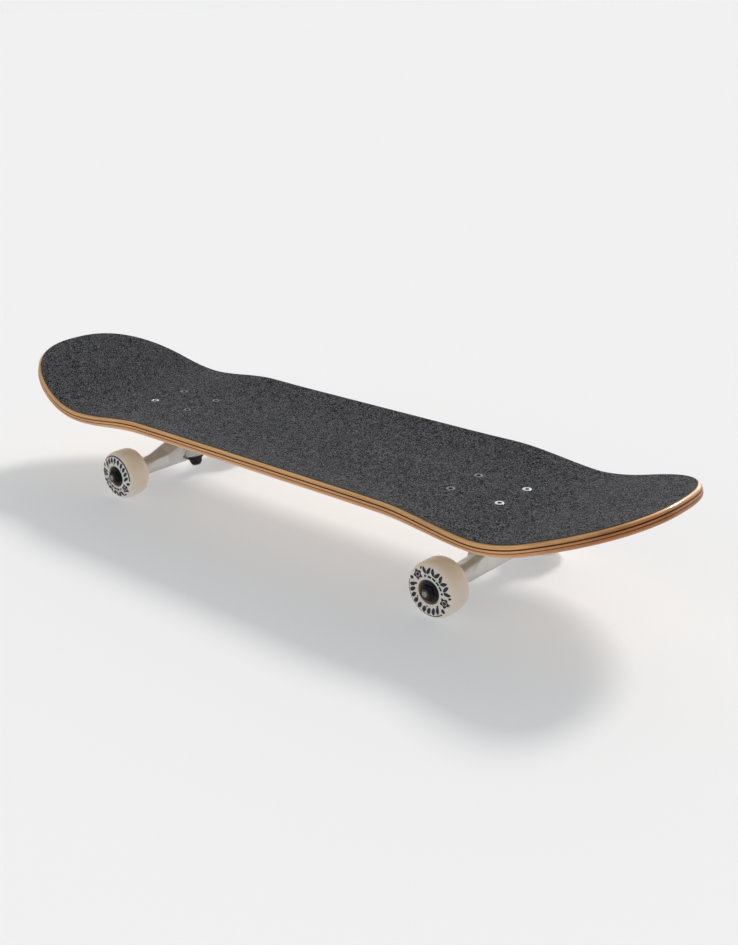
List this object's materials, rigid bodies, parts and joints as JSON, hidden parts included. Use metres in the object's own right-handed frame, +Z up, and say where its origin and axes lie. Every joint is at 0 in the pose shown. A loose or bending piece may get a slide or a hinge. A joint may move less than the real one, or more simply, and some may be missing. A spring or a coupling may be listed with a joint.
{
  "type": "skateboard",
  "caption": "Double-kick wooden skateboard with a gritted top, bushing-sprung steering trucks and free-rolling urethane wheels.",
  "frame": {"origin": "on the floor under the middle of the deck's overall length and width, with the board standing on its wheels", "axes": "+X along the board towards the tail, +Y across the board, +Z up; the nose points to -X, and a rider who faces the nose has -Y on the left"},
  "size_m": [0.8091, 0.205, 0.1301],
  "materials": {
    "maple": "clear-lacquered maple veneer plies, one of them stained brown",
    "griptape": "dark grey abrasive grit with a fine sparkle",
    "cast_aluminium": "satin tumbled casting",
    "steel": "plain machined steel",
    "bolt_steel": "zinc-plated screw heads with dark recesses",
    "black_steel": "black oxide",
    "urethane": "cast cream urethane, slightly translucent, with a printed black ornament",
    "bushing": "pale grey urethane",
    "pivot_rubber": "black moulded cup",
    "bearing": "ground steel rings with a black rubber shield"
  },
  "bodies": {
    "board": {"deck": "maple", "griptape": "griptape", "nose_baseplate": "cast_aluminium", "nose_pivot_cup": "pivot_rubber", "nose_kingpin": "steel", "nose_kingpin_nut": "black_steel", "nose_bushing_boardside": "bushing", "nose_bushing_roadside": "bushing", "nose_washer_boardside": "black_steel", "nose_washer_roadside": "black_steel", "nose_bolt_outer_left": "bolt_steel", "nose_lock_nut_outer_left": "steel", "nose_bolt_outer_right": "bolt_steel", "nose_lock_nut_outer_right": "steel", "nose_bolt_inner_left": "bolt_steel", "nose_lock_nut_inner_left": "steel", "nose_bolt_inner_right": "bolt_steel", "nose_lock_nut_inner_right": "steel", "tail_baseplate": "cast_aluminium", "tail_pivot_cup": "pivot_rubber", "tail_kingpin": "steel", "tail_kingpin_nut": "black_steel", "tail_bushing_boardside": "bushing", "tail_bushing_roadside": "bushing", "tail_washer_boardside": "black_steel", "tail_washer_roadside": "black_steel", "tail_bolt_outer_left": "bolt_steel", "tail_lock_nut_outer_left": "steel", "tail_bolt_outer_right": "bolt_steel", "tail_lock_nut_outer_right": "steel", "tail_bolt_inner_left": "bolt_steel", "tail_lock_nut_inner_left": "steel", "tail_bolt_inner_right": "bolt_steel", "tail_lock_nut_inner_right": "steel"},
    "nose_left_wheel": {"nose_left_wheel": "urethane", "nose_left_bearing_outboard": "bearing", "nose_left_bearing_inboard": "bearing"},
    "nose_right_wheel": {"nose_right_wheel": "urethane", "nose_right_bearing_outboard": "bearing", "nose_right_bearing_inboard": "bearing"},
    "nose_hanger": {"nose_hanger": "cast_aluminium", "nose_axle": "steel", "nose_left_bearing_spacer": "steel", "nose_left_axle_nut": "black_steel", "nose_right_bearing_spacer": "steel", "nose_right_axle_nut": "black_steel"},
    "tail_left_wheel": {"tail_left_wheel": "urethane", "tail_left_bearing_outboard": "bearing", "tail_left_bearing_inboard": "bearing"},
    "tail_right_wheel": {"tail_right_wheel": "urethane", "tail_right_bearing_outboard": "bearing", "tail_right_bearing_inboard": "bearing"},
    "tail_hanger": {"tail_hanger": "cast_aluminium", "tail_axle": "steel", "tail_left_bearing_spacer": "steel", "tail_left_axle_nut": "black_steel", "tail_right_bearing_spacer": "steel", "tail_right_axle_nut": "black_steel"}
  },
  "joints": [
    {"name": "nose_steer", "type": "hinge", "parent": "board", "child": "nose_hanger", "pos_m": [-0.2337, 0, 0.064], "axis": [0.8354, 0, -0.5497], "range_deg": [-15, 15], "stiffness_Nm_per_rad": 60, "deforming": ["nose_bushing_boardside", "nose_bushing_roadside"]},
    {"name": "tail_steer", "type": "hinge", "parent": "board", "child": "tail_hanger", "pos_m": [0.2423, 0, 0.064], "axis": [0.8354, 0, 0.5497], "range_deg": [-15, 15], "stiffness_Nm_per_rad": 60, "deforming": ["tail_bushing_boardside", "tail_bushing_roadside"]},
    {"name": "nose_left_spin", "type": "hinge", "parent": "nose_hanger", "child": "nose_left_wheel", "pos_m": [-0.2124, -0.0818, 0.026], "axis": [0, 1, 0], "continuous": true},
    {"name": "nose_right_spin", "type": "hinge", "parent": "nose_hanger", "child": "nose_right_wheel", "pos_m": [-0.2124, 0.0818, 0.026], "axis": [0, 1, 0], "continuous": true},
    {"name": "tail_left_spin", "type": "hinge", "parent": "tail_hanger", "child": "tail_left_wheel", "pos_m": [0.221, -0.0818, 0.026], "axis": [0, 1, 0], "continuous": true},
    {"name": "tail_right_spin", "type": "hinge", "parent": "tail_hanger", "child": "tail_right_wheel", "pos_m": [0.221, 0.0818, 0.026], "axis": [0, 1, 0], "continuous": true}
  ]
}
